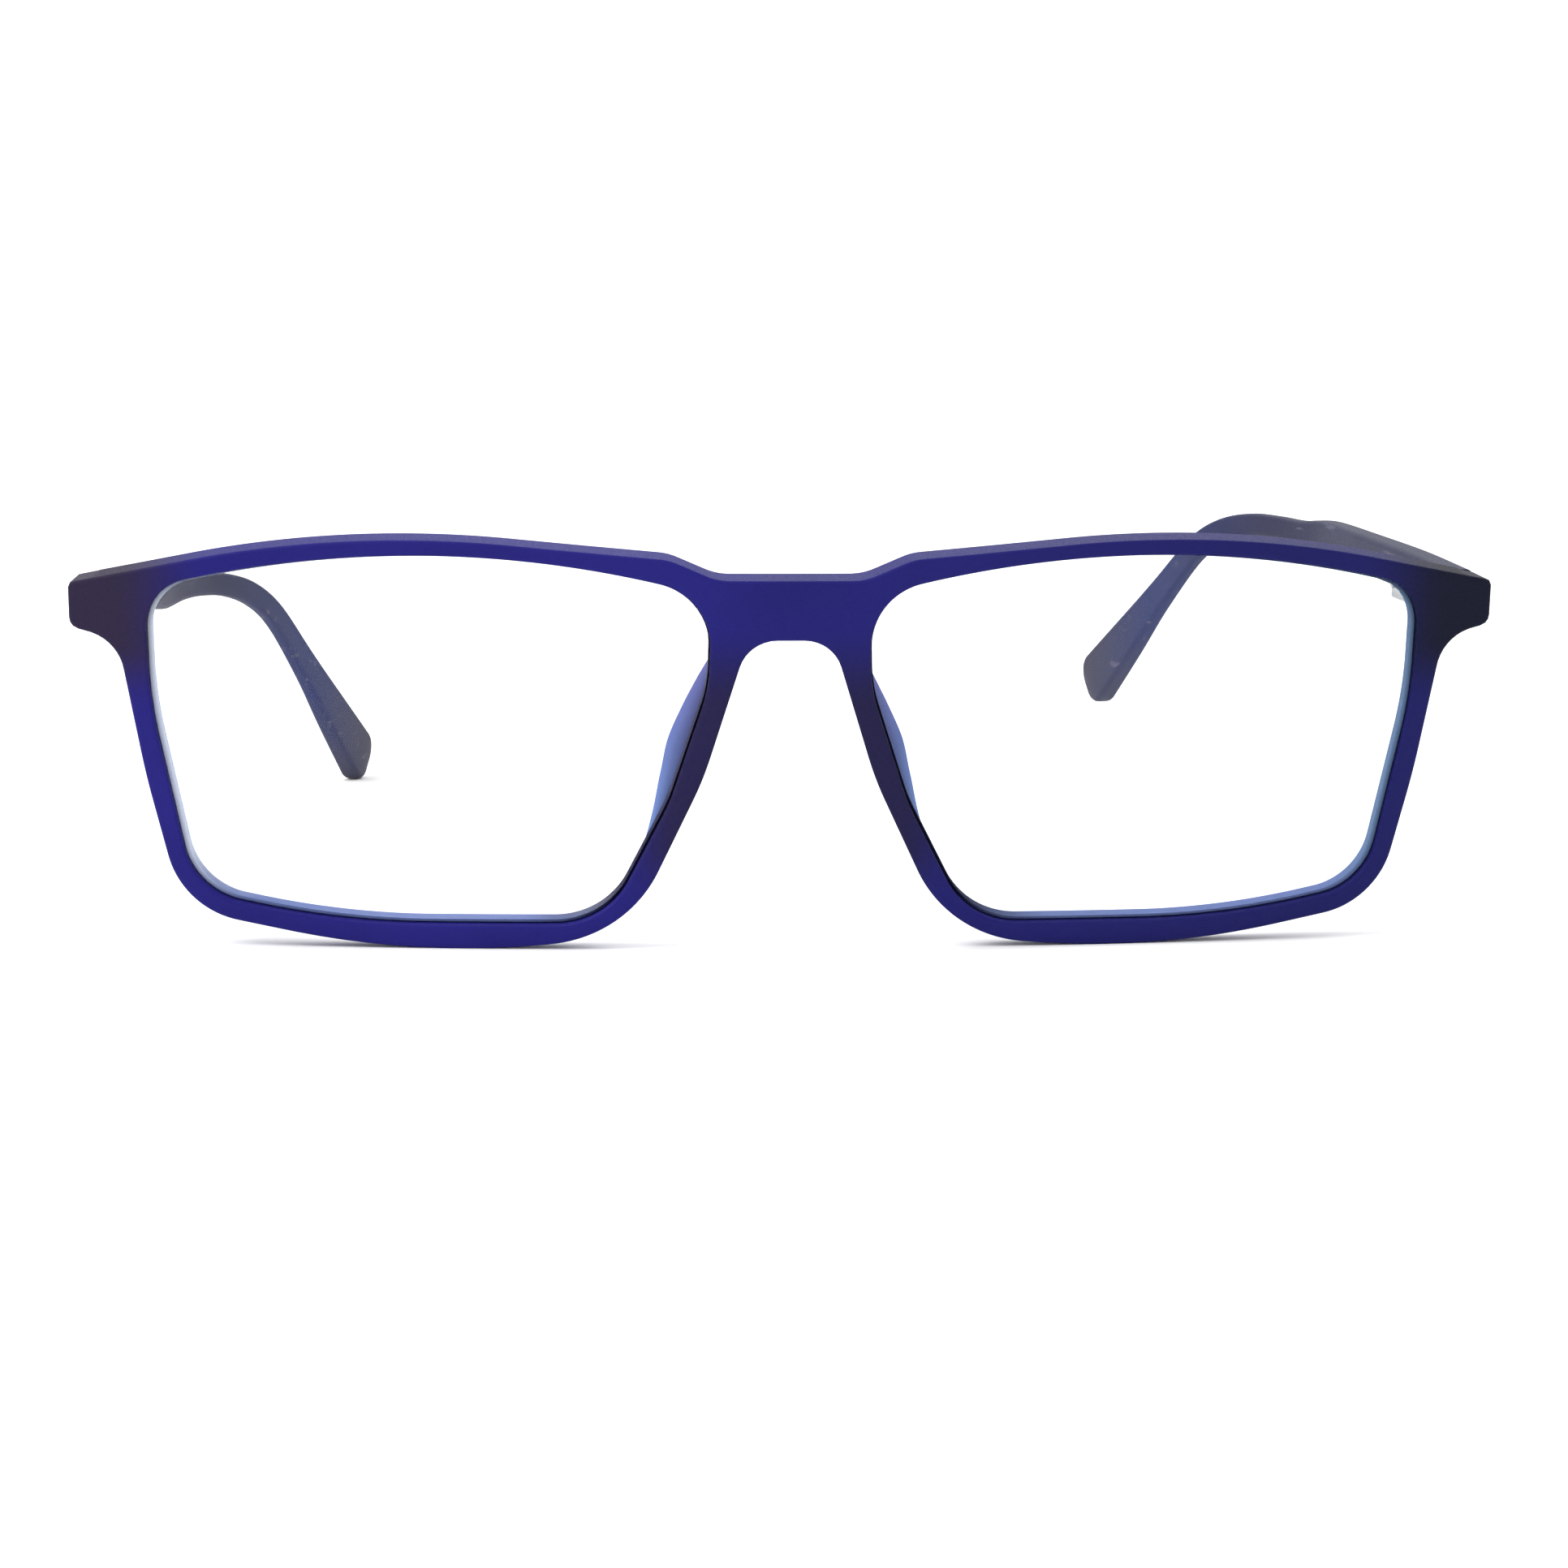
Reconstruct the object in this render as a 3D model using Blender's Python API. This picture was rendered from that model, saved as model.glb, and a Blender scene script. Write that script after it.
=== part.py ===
"""Full-rim moulded spectacles with plano blue-cut lenses, spring hinges and folding temples.

Frame: metres, +Z up. The glasses stand on their rims and on the right ear tip, facing -Y, with the origin
under the middle of their bounding box. Left and right are the wearer's, so left is +X.
Lengths below are in millimetres and become metres when a mesh is made.
"""

import math

import bmesh
import bpy
from mathutils import Vector

MM = 0.001

# Front: outlines are drawn on the front plane as x across and s up the plane, for the wearer's left half.
FRONT_LEAN = math.radians(8.0)     # pantoscopic lean, top edge forward
FRONT_WRAP = 7.0                   # how far the front has curved back at WRAP_AT from the middle
WRAP_AT = 68.0
FRONT_DEPTH = 3.9
EDGE_ROUND = 0.3
GROOVE_AT = 1.75                   # lens groove, behind the front face
GROOVE_HALF = 0.75
GROOVE_DEPTH = 0.5
HALF_WIDTH = 70.0
SPOKE_STEP = 2.3

# Each corner is (x, s, radius of its round).
OUTER_CORNERS = (
    (0.0, 37.37, 0.0), (7.1, 37.37, 5.8), (11.8, 39.4, 5.6), (42.8, 41.95, 103.0),
    (HALF_WIDTH, 35.75, 0.6), (HALF_WIDTH, 31.35, 1.1), (65.3, 30.25, 4.4), (62.9, 16.5, 80.0),
    (59.7, 3.15, 8.4), (36.2, -0.92, 90.0), (15.85, 1.5, 13.2), (8.4, 17.5, 35.0),
    (4.1, 31.45, 3.8), (0.0, 31.45, 0.0),
)
LENS_CORNERS = (
    (7.65, 35.85, 6.3), (35.8, 42.25, 97.0), (62.45, 35.45, 5.1), (62.3, 24.2, 42.0), (58.45, 4.9, 6.8),
    (44.0, 2.3, 90.0), (17.9, 2.7, 8.2), (11.65, 15.1, 20.0), (7.9, 26.6, 15.0),
)
# Where the outline faces the lens opening: (outer x, outer s, opening x, opening s), from the bridge round.
FACING = (
    (0.0, 37.37, 8.4, 33.9), (13.0, 39.4, 13.6, 37.3), (36.0, 41.0, 36.0, 39.6), (58.0, 38.5, 57.0, 37.0),
    (67.2, 36.4, 60.0, 36.0), (67.7, 36.3, 60.3, 35.8), (69.8, 35.75, 61.3, 34.9), (70.0, 35.25, 61.6, 34.5),
    (70.0, 32.25, 62.3, 32.4), (69.7, 31.35, 62.35, 31.5), (67.9, 30.8, 62.4, 30.7), (67.2, 30.6, 62.4, 30.3),
    (64.7, 27.2, 62.3, 26.8), (59.0, 4.4, 57.6, 5.6), (33.0, 0.0, 33.0, 2.3), (18.0, 2.2, 18.8, 4.2),
    (7.5, 20.0, 10.1, 20.0), (4.7, 29.4, 7.9, 29.0), (3.2, 31.05, 7.8, 31.2), (0.0, 31.45, 7.85, 32.8),
)

# Nose pads, moulded on the back of the inner rims. For a place on the outline, each row is its height up the
# front plane, how far the pad reaches behind the rim there, how far its back edge leans away from the nose,
# and how thick that edge is.
PAD_PROFILE = (
    (3.5, 0.0, 0.0, 0.9), (5.9, 0.7, 0.25, 1.0), (9.0, 1.6, 0.4, 1.2), (12.3, 2.5, 0.95, 1.3),
    (15.5, 3.35, 1.75, 1.35), (18.9, 4.0, 2.3, 1.35), (22.4, 4.5, 1.95, 1.35), (25.9, 4.2, 1.35, 1.35),
    (28.5, 2.6, 0.9, 1.2), (30.6, 0.0, 0.0, 0.8),
)
PAD_INSIDE = 17.5                  # no pad further out than this
PAD_FULL_REACH = 1.5               # the back edge has its full thickness from this reach

# Lenses.
LENS_THICK = 1.9
LENS_CLEAR = 0.24
LENS_RINGS = 3

# Hinges. Measures with "off" are from the pivot, x outwards and y backwards.
PIVOT_X = 65.7
PIVOT_Y = 10.5
PIVOT_Z = 34.8
BUTT_Y = 10.0                      # flat back face of the end piece
BLOCK_INNER_X = 67.3               # inner side of the end piece's rear block
BLOCK_TOP_FALL = 0.3               # how far the block's top falls towards the rear, against the front's lean
KNUCKLE_R = 1.25
HINGE_HALF = 1.75                  # half the height of the hinge
EYE_HALF = 0.62
PIN_R = 0.6
PIN_HOLE_R = 0.65
SCREW_R = 0.33
SCREW_HOLE_R = 0.4
LEAF_FRONT_Y = 5.0
LEAF_THICK = 0.9
LEAF_INNER_X = 63.3
LEAF_OUTER_X = 67.1
LEAF_SCREW_X = 64.0
LEAF_SCREW_UP = 0.95
ROD_OFF_X = 0.2
ROD_R = 0.35
STEM_END = 3.5
SHOULDER = (3.6, 4.4)              # inner wall of the housing that the spring bears on
ROD_END = 10.6
STOP = (9.8, 10.4)                 # collar on the rod's end
SPRING_COIL_R = 0.62
SPRING_WIRE_R = 0.12
SPRING_TURNS = 8
HOUSING_Y = (1.75, 13.4)
HOUSING_OFF_X = (-1.2, 1.25)
HOUSING_SCREW_Y = 12.2

# Temples: (y, x of the middle, z of the middle, height, thickness), level, from hinge to ear tip.
TEMPLE_FRONT_Y = 10.3
TEMPLE_STATIONS = (
    (TEMPLE_FRONT_Y, 68.55, 34.8, 4.3, 2.9), (30.0, 68.55, 35.35, 4.3, 2.9), (55.0, 68.6, 35.6, 4.3, 2.8),
    (72.0, 68.7, 35.55, 4.6, 2.6), (79.0, 68.5, 35.6, 4.2, 2.4), (86.0, 67.4, 35.75, 3.0, 2.0),
    (92.0, 65.7, 36.05, 2.7, 1.8), (98.0, 63.2, 36.0, 2.8, 1.7), (104.0, 60.6, 34.85, 3.0, 1.6),
    (110.0, 58.2, 32.1, 3.3, 1.6), (118.0, 55.3, 26.1, 4.0, 1.8), (126.0, 52.5, 19.8, 5.4, 2.3),
    (134.0, 49.6, 13.5, 6.8, 2.6),
)
TEMPLE_STEP = 3.2
TIP_ROUND = 3.0
# The right temple has dropped: by this much at the hinge, and by this much more for each millimetre back.
DROP_AT_HINGE = {"left": 0.0, "right": 0.5}
DROP_SLOPE = {"left": 0.0, "right": 0.0764}

# Rest position: the outlines' own origin is moved so that the box stands on z = 0 about the world origin.
SHIFT_Y = -65.96
SHIFT_Z = -0.28

ROUND_SIDES = 20
SIDES = {"left": 1, "right": -1}

COLOURS = {
    "indigo": ((0.030, 0.022, 0.150, 1.0), 0.5, 0.0),
    "navy": ((0.055, 0.058, 0.110, 1.0), 0.5, 0.0),
    "lens": ((0.90, 0.93, 0.95, 0.3), 0.05, 0.0),
    "steel": ((0.55, 0.56, 0.58, 1.0), 0.3, 1.0),
}


def clear_scene():
    for obj in list(bpy.data.objects):
        bpy.data.objects.remove(obj, do_unlink=True)


def material(name):
    made = bpy.data.materials.get(name)
    if made:
        return made
    colour, roughness, metallic = COLOURS[name]
    made = bpy.data.materials.new(name)
    made.use_nodes = True
    shader = made.node_tree.nodes["Principled BSDF"]
    shader.inputs["Base Color"].default_value = colour
    shader.inputs["Roughness"].default_value = roughness
    shader.inputs["Metallic"].default_value = metallic
    shader.inputs["Alpha"].default_value = colour[3]
    return made


# ---- outlines ----

def rounded(corners, closed, step=0.25):
    """A dense polyline through the corners, each cut by an arc of its radius."""
    points = []
    count = len(corners)
    for i, (x, s, radius) in enumerate(corners):
        here = Vector((x, s))
        if radius == 0.0 or (not closed and i in (0, count - 1)):
            points.append(here)
            continue
        before = (Vector(corners[i - 1][:2]) - here).normalized()
        after = (Vector(corners[(i + 1) % count][:2]) - here).normalized()
        half = before.angle(after) / 2
        reach = radius / math.tan(half)
        middle = here + (before + after).normalized() * radius / math.sin(half)
        start = here + before * reach - middle
        turn = math.pi - 2 * half
        if start.x * after.y - start.y * after.x < 0:
            turn = -turn
        pieces = max(3, round(abs(turn) * radius / step))
        for k in range(pieces + 1):
            angle = turn * k / pieces
            c, n = math.cos(angle), math.sin(angle)
            points.append(middle + Vector((start.x * c - start.y * n, start.x * n + start.y * c)))
    if closed:
        points.append(points[0])
    return points


def lengths(points):
    """Distance along the polyline at each of its points."""
    run = [0.0]
    for a, b in zip(points, points[1:]):
        run.append(run[-1] + (b - a).length)
    return run


def place_of(points, run, target):
    """Distance along the polyline of its nearest place to target."""
    best = (math.inf, 0.0)
    for i, (a, b) in enumerate(zip(points, points[1:])):
        along = b - a
        share = 0.0
        if along.length_squared > 0:
            share = min(1.0, max(0.0, (target - a).dot(along) / along.length_squared))
        best = min(best, ((a + along * share - target).length, run[i] + along.length * share))
    return best[1]


def point_at(points, run, distance):
    """Point and outward normal of a clockwise polyline at a distance along it."""
    i = 0
    while i < len(run) - 2 and run[i + 1] < distance:
        i += 1
    along = points[i + 1] - points[i]
    share = (distance - run[i]) / along.length if along.length else 0.0
    direction = along.normalized()
    return points[i] + along * share, Vector((-direction.y, direction.x))


def front_spokes(step):
    """Spokes from the lens opening to the outline, as (opening point, its normal, outline point, its normal).

    The last few end on the middle of the bridge, where the two halves meet, and have None for a normal there.
    """
    outer = rounded(OUTER_CORNERS, closed=False)
    lens = rounded(LENS_CORNERS, closed=True)
    outer_run, lens_run = lengths(outer), lengths(lens)
    outer_at = [place_of(outer, outer_run, Vector(f[:2])) for f in FACING]
    lens_at = [place_of(lens, lens_run, Vector(f[2:])) for f in FACING]
    for k in range(1, len(lens_at)):
        if lens_at[k] < lens_at[k - 1]:
            lens_at[k] += lens_run[-1]
    spokes = []
    for k in range(len(FACING) - 1):
        span = max(outer_at[k + 1] - outer_at[k], lens_at[k + 1] - lens_at[k])
        pieces = max(1, round(span / step))
        for j in range(pieces):
            share = j / pieces
            outer_distance = outer_at[k] + (outer_at[k + 1] - outer_at[k]) * share
            lens_distance = lens_at[k] + (lens_at[k + 1] - lens_at[k]) * share
            spokes.append(spoke_at(outer, outer_run, outer_distance, lens, lens_run, lens_distance))
    spokes.append(spoke_at(outer, outer_run, outer_run[-1], lens, lens_run, lens_at[-1]))
    # Close the ring up the middle of the bridge.
    foot, top = spokes[-1][2], spokes[0][2]
    gap = lens_at[0] + lens_run[-1] - lens_at[-1]
    pieces = max(2, round((top - foot).length / step))
    for j in range(1, pieces):
        share = j / pieces
        p, m = point_at(lens, lens_run, (lens_at[-1] + gap * share) % lens_run[-1])
        spokes.append((p, m, foot.lerp(top, share), None))
    return spokes


def spoke_at(outer, outer_run, outer_distance, lens, lens_run, lens_distance):
    p, m = point_at(lens, lens_run, lens_distance % lens_run[-1])
    q, n = point_at(outer, outer_run, outer_distance)
    if q.x < 1e-6:
        n = Vector((0.0, math.copysign(1.0, n.y)))
    return p, m, q, n


# ---- from the front plane to the world ----

def on_front(x, s, depth, back=0.0):
    """World millimetres of a place on the front: depth is behind its face, back is straight back."""
    wrap = FRONT_WRAP * (x / WRAP_AT) ** 2 + depth
    y = -s * math.sin(FRONT_LEAN) + wrap * math.cos(FRONT_LEAN) + back
    z = s * math.cos(FRONT_LEAN) + wrap * math.sin(FRONT_LEAN)
    return Vector((x, y, z))


def to_world(point, side):
    """Metres in the part's frame, on the named side."""
    return Vector((point.x * SIDES[side], point.y + SHIFT_Y, point.z + SHIFT_Z)) * MM


def pivot(side):
    return to_world(Vector((PIVOT_X, PIVOT_Y, PIVOT_Z)), side)


# ---- mesh helpers ----

def new_object(name, mesh_work, colour, location=None, parent=None):
    """An object from a bmesh in world metres, with its origin at location, also the place of its parent."""
    location = location or Vector((0.0, 0.0, 0.0))
    bmesh.ops.remove_doubles(mesh_work, verts=mesh_work.verts, dist=1e-7)
    bmesh.ops.recalc_face_normals(mesh_work, faces=mesh_work.faces)
    bmesh.ops.translate(mesh_work, verts=mesh_work.verts, vec=-location)
    mesh = bpy.data.meshes.new(name)
    mesh_work.to_mesh(mesh)
    mesh_work.free()
    mesh.shade_smooth()
    mesh.set_sharp_from_angle(angle=math.radians(35))
    mesh.materials.append(material(colour))
    obj = bpy.data.objects.new(name, mesh)
    bpy.context.scene.collection.objects.link(obj)
    if parent:
        obj.parent = parent
    else:
        obj.location = location
    return obj


def empty_at(name, location):
    empty = bpy.data.objects.new(name, None)
    empty.location = location
    bpy.context.scene.collection.objects.link(empty)
    return empty


def loft(work, rings):
    """Skins rings of equal length and closes both ends."""
    made = [[work.verts.new(p) for p in ring] for ring in rings]
    for a, b in zip(made, made[1:]):
        for i in range(len(a)):
            j = (i + 1) % len(a)
            work.faces.new((a[i], a[j], b[j], b[i]))
    work.faces.new(made[0])
    work.faces.new(list(reversed(made[-1])))


def hinge_point(side, off_x, off_y, up):
    return pivot(side) + Vector((off_x * SIDES[side], off_y, up)) * MM


def box(side, xs, ys, zs):
    """A box given by offsets from the pivot."""
    work = bmesh.new()
    corners = ((xs[0], ys[0]), (xs[1], ys[0]), (xs[1], ys[1]), (xs[0], ys[1]))
    loft(work, [[hinge_point(side, x, y, z) for x, y in corners] for z in zs])
    return work


def rod(work, side, axis, centre, stations, sides=ROUND_SIDES):
    """A turned piece about an axis through centre, an offset from the pivot: stations are (along, radius)."""
    rings = []
    for along, radius in stations:
        ring = []
        for k in range(sides):
            angle = math.tau * (k + 0.5) / sides
            a, b = radius * math.cos(angle), radius * math.sin(angle)
            offset = {"x": (along, a, b), "y": (a, along, b), "z": (a, b, along)}[axis]
            ring.append(hinge_point(side, *(c + o for c, o in zip(centre, offset))))
        rings.append(ring)
    loft(work, rings)


def cut(obj, work, name, operation="DIFFERENCE"):
    """Cuts a shape from obj, or joins it on, with a hidden helper."""
    helper = new_object(name, work, "steel")
    helper.hide_render = True
    helper.display_type = "WIRE"
    made = obj.modifiers.new(name, "BOOLEAN")
    made.operation = operation
    made.solver = "EXACT"
    made.object = helper


def cut_round(obj, side, axis, centre, stations, name):
    work = bmesh.new()
    rod(work, side, axis, centre, stations)
    cut(obj, work, name)


# ---- front frame and lenses ----

def pad_at(x, s):
    """Reach, lean and thickness of the nose pad at this place of the outline."""
    if x > PAD_INSIDE or s <= PAD_PROFILE[0][0] or s >= PAD_PROFILE[-1][0]:
        return 0.0, 0.0, 0.0
    i = max(k for k, row in enumerate(PAD_PROFILE) if row[0] <= s)
    span = PAD_PROFILE[i + 1][0] - PAD_PROFILE[i][0]
    _, reach, lean, thick = through(PAD_PROFILE, i + (s - PAD_PROFILE[i][0]) / span)
    return max(0.0, reach), max(0.0, lean), thick


def front_section(spoke):
    """World millimetres round one slice of the front, from the lens groove over the face to the back."""
    p, m, q, n = spoke
    lip = p + m * EDGE_ROUND
    rim = [
        on_front(*(p + m * GROOVE_DEPTH), GROOVE_AT),
        on_front(*p, GROOVE_AT - GROOVE_HALF),
        on_front(*p, EDGE_ROUND),
        on_front(*lip, 0.0),
    ]
    back = [on_front(*lip, FRONT_DEPTH), on_front(*p, FRONT_DEPTH - EDGE_ROUND),
            on_front(*p, GROOVE_AT + GROOVE_HALF)]
    if n is None:
        middle = lip.lerp(q, 0.5)
        return rim + [on_front(*q, 0.0), None, None, None, on_front(*q, FRONT_DEPTH),
                      on_front(*q.lerp(middle, 0.6), FRONT_DEPTH), on_front(*middle, FRONT_DEPTH)] + back
    inset = q - n * EDGE_ROUND
    outer = [on_front(*inset, 0.0), on_front(*q, EDGE_ROUND), on_front(*q, FRONT_DEPTH - 1.2)]
    if inset.x > BLOCK_INNER_X:
        outer += block_corners(q, inset, lip, max(0.0, n.y) * BLOCK_TOP_FALL)
    else:
        reach, lean, pad_thick = pad_at(*q)
        pad = min(1.0, reach / PAD_FULL_REACH)
        width = (inset - lip).length
        thick = min(0.5, 0.5 * width) * (1 - pad) + pad_thick * pad
        edge = q - n * lean
        edge_in = inset - n * lean
        toward = (lip - inset).normalized()
        outer += [
            on_front(*edge, FRONT_DEPTH - EDGE_ROUND, reach),
            on_front(*edge_in, FRONT_DEPTH, reach),
            on_front(*(edge_in + toward.lerp(-n, pad) * thick), FRONT_DEPTH, reach),
            on_front(*inset.lerp(lip, min(0.8, 1.0 / width)), FRONT_DEPTH),
        ]
    return rim + outer + back


def block_corners(q, inset, lip, fall):
    """Back corners of a slice through the end piece's rear block, which ends on the flat butt face."""
    run = inset.x - lip.x
    inner = inset.lerp(lip, (inset.x - BLOCK_INNER_X) / run)
    root = inset.lerp(lip, (inset.x - BLOCK_INNER_X + EDGE_ROUND) / run)
    corners = []
    for place, short in ((q, EDGE_ROUND), (inset, 0.0), (inner, 0.0)):
        point = on_front(*place, FRONT_DEPTH)
        point.y = BUTT_Y - short
        point.z -= fall
        corners.append(point)
    return corners + [on_front(*root, FRONT_DEPTH)]


def front_frame():
    work = bmesh.new()
    spokes = front_spokes(SPOKE_STEP)
    on_outline = sum(1 for spoke in spokes if spoke[3] is not None)
    sections = [front_section(spoke) for spoke in spokes]
    for side in SIDES:
        rings = [[work.verts.new(to_world(p, side)) if p else None for p in section] for section in sections]
        for i, ring in enumerate(rings):
            following = rings[(i + 1) % len(rings)]
            for j in range(len(ring)):
                k = (j + 1) % len(ring)
                corners = (ring[j], ring[k], following[k], following[j])
                middle_wall = 4 <= j < 8 and i >= on_outline - 1
                if None in corners or middle_wall:
                    continue
                work.faces.new(corners)
    obj = new_object("front_frame", work, "indigo")
    for side in SIDES:
        leaf_pocket(obj, side)
    return obj


def leaf_pocket(obj, side):
    """The recess for the hinge leaf and the holes for its screws."""
    xs = (LEAF_INNER_X - 0.1 - PIVOT_X, LEAF_OUTER_X + 0.1 - PIVOT_X)
    ys = (LEAF_FRONT_Y - 0.1 - PIVOT_Y, LEAF_FRONT_Y + 3.0 - PIVOT_Y)
    cut(obj, box(side, xs, ys, (-HINGE_HALF - 0.1, HINGE_HALF + 0.1)), f"leaf_pocket_{side}")
    for up in (-LEAF_SCREW_UP, LEAF_SCREW_UP):
        centre = (LEAF_SCREW_X - PIVOT_X, 0.0, up)
        floor = LEAF_FRONT_Y - PIVOT_Y
        cut_round(obj, side, "y", centre, ((floor - 2.4, SCREW_HOLE_R), (floor + 1.0, SCREW_HOLE_R)),
                  f"leaf_screw_hole_{side}_{'upper' if up > 0 else 'lower'}")


def lens(side):
    """A plano lens that curves with the front, its V edge standing in the rim's groove."""
    work = bmesh.new()
    spokes = front_spokes(SPOKE_STEP)
    middle = sum((s[0] for s in spokes), Vector((0.0, 0.0))) / len(spokes)
    front_at = GROOVE_AT - LENS_THICK / 2
    edge = [(p - m * LENS_CLEAR, p + m * (GROOVE_DEPTH - LENS_CLEAR)) for p, m, _, _ in spokes]
    rings = []
    for k in range(LENS_RINGS, 0, -1):
        share = k / LENS_RINGS
        rings.append([on_front(*middle.lerp(flat, share), front_at + LENS_THICK) for flat, _ in edge])
    rings.reverse()
    rings.append([on_front(*tip, GROOVE_AT) for _, tip in edge])
    for k in range(LENS_RINGS, 0, -1):
        share = k / LENS_RINGS
        rings.append([on_front(*middle.lerp(flat, share), front_at) for flat, _ in edge])
    made = [[work.verts.new(to_world(p, side)) for p in ring] for ring in rings]
    for a, b in zip(made, made[1:]):
        for i in range(len(a)):
            j = (i + 1) % len(a)
            work.faces.new((a[i], a[j], b[j], b[i]))
    for ring, depth in ((made[0], front_at + LENS_THICK), (made[-1], front_at)):
        centre = work.verts.new(to_world(on_front(*middle, depth), side))
        for i in range(len(ring)):
            work.faces.new((ring[i], ring[(i + 1) % len(ring)], centre))
    return new_object(f"lens_{side}", work, "lens")


# ---- temples ----

def through(values, share):
    """A smooth curve through rows of values, at share from 0 at the first row to the last row's index."""
    i = min(int(share), len(values) - 2)
    t = share - i
    rows = [values[max(0, min(len(values) - 1, i + k))] for k in (-1, 0, 1, 2)]
    made = []
    for a, b, c, d in zip(*rows):
        cubic = 1.5 * (b - c) + (d - a) / 2
        square = a - 2.5 * b + 2 * c - d / 2
        made.append(b + t * ((c - a) / 2 + t * (square + t * cubic)))
    return made


def drop(side, y):
    """How far this temple has dropped at y."""
    return DROP_AT_HINGE[side] + DROP_SLOPE[side] * (y - TEMPLE_FRONT_Y)


def temple_rings(side):
    """Rounded-rectangle slices, each square to the temple's middle line."""
    places = []
    for i in range(len(TEMPLE_STATIONS) - 1):
        span = math.dist(TEMPLE_STATIONS[i][:3], TEMPLE_STATIONS[i + 1][:3])
        pieces = max(2, round(span / (TEMPLE_STEP * (3 if i < 2 else 1))))
        places += [i + k / pieces for k in range(pieces)]
    places.append(len(TEMPLE_STATIONS) - 1.0)
    rings = []
    for place in places:
        y, x, z, height, thick = through(TEMPLE_STATIONS, place)
        ahead = through(TEMPLE_STATIONS, min(place + 0.02, len(TEMPLE_STATIONS) - 1.0))
        behind = through(TEMPLE_STATIONS, max(place - 0.02, 0.0))
        middle = Vector((x, y, z - drop(side, y)))
        run = Vector((ahead[1], ahead[0], ahead[2] - drop(side, ahead[0])))
        run -= Vector((behind[1], behind[0], behind[2] - drop(side, behind[0])))
        if place == 0.0:
            run = Vector((0.0, 1.0, 0.0))
        rings.append(temple_slice(middle, run.normalized(), height, thick))
    # The ear tip closes in a half round.
    last_middle, last_run = middle, run.normalized()
    for k in range(1, 5):
        angle = math.pi / 2 * k / 5
        shrink = math.cos(angle)
        rings.append(temple_slice(last_middle + last_run * TIP_ROUND * math.sin(angle), last_run,
                                  height * shrink, thick * (0.4 + 0.6 * shrink)))
    return rings


def temple_slice(middle, run, height, thick):
    across = run.cross(Vector((0.0, 0.0, 1.0))).normalized()
    up = across.cross(run).normalized()
    corner = min(0.7, thick * 0.35, height * 0.3)
    ring = []
    for ux, uz in ((1, 1), (-1, 1), (-1, -1), (1, -1)):
        turns = ((corner, 0.0), (0.3 * corner, 0.3 * corner), (0.0, corner))
        if ux * uz < 0:
            turns = tuple(reversed(turns))
        for from_top, from_side in turns:
            ring.append(middle + across * ux * (thick / 2 - from_side) + up * uz * (height / 2 - from_top))
    return ring


def temple(side, parent):
    work = bmesh.new()
    loft(work, [[to_world(p, side) for p in ring] for ring in temple_rings(side)])
    obj = new_object(f"temple_{side}", work, "navy", pivot(side), parent)
    inner = TEMPLE_STATIONS[0][1] - TEMPLE_STATIONS[0][4] / 2 - PIVOT_X
    cut_round(obj, side, "x", (0.0, HOUSING_SCREW_Y, 0.0),
              ((inner - 1.0, SCREW_HOLE_R), (inner + 2.0, SCREW_HOLE_R)), f"housing_screw_hole_{side}")
    return obj


# ---- hinge ----

def hinge_leaf(side):
    plate = box(side, (LEAF_INNER_X - PIVOT_X, LEAF_OUTER_X - PIVOT_X),
                (LEAF_FRONT_Y - PIVOT_Y, LEAF_FRONT_Y + LEAF_THICK - PIVOT_Y), (-HINGE_HALF, HINGE_HALF))
    obj = new_object(f"hinge_leaf_{side}", plate, "steel")
    for name, low, high in (("upper", EYE_HALF + 0.08, HINGE_HALF), ("lower", -HINGE_HALF, -EYE_HALF - 0.08)):
        arm = bmesh.new()
        root = LEAF_FRONT_Y + LEAF_THICK / 2 - PIVOT_Y
        outline = [(-0.95, root), (0.95, root)]
        first = -math.asin(0.95 / KNUCKLE_R)
        for k in range(13):
            angle = -math.pi / 2 - first + (math.tau + 2 * first) * k / 12
            outline.append((KNUCKLE_R * math.cos(angle), KNUCKLE_R * math.sin(angle)))
        loft(arm, [[hinge_point(side, x, y, z) for x, y in outline] for z in (low + 0.001, high - 0.001)])
        cut(obj, arm, f"knuckle_{name}_{side}", "UNION")
    cut_round(obj, side, "z", (0.0, 0.0, 0.0), ((-HINGE_HALF - 1, PIN_HOLE_R), (HINGE_HALF + 1, PIN_HOLE_R)),
              f"pivot_hole_{side}")
    for up in (-LEAF_SCREW_UP, LEAF_SCREW_UP):
        floor = LEAF_FRONT_Y - PIVOT_Y
        cut_round(obj, side, "y", (LEAF_SCREW_X - PIVOT_X, 0.0, up),
                  ((floor - 1.0, SCREW_HOLE_R), (floor + LEAF_THICK + 1.0, SCREW_HOLE_R)),
                  f"leaf_hole_{side}_{'upper' if up > 0 else 'lower'}")
    return obj


def slot_across(obj, side, axis, centre, top, head_r, name):
    """A screwdriver slot in a screw's head."""
    wide, deep = 0.12, 0.2
    reach = head_r + 0.3
    if axis == "z":
        work = box(side, (centre[0] - reach, centre[0] + reach), (centre[1] - wide, centre[1] + wide),
                   (top - deep, top + deep))
    elif axis == "y":
        work = box(side, (centre[0] - reach, centre[0] + reach), (top - deep, top + deep),
                   (centre[2] - wide, centre[2] + wide))
    else:
        work = box(side, (top - deep, top + deep), (centre[1] - reach, centre[1] + reach),
                   (centre[2] - wide, centre[2] + wide))
    cut(obj, work, name)


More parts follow.
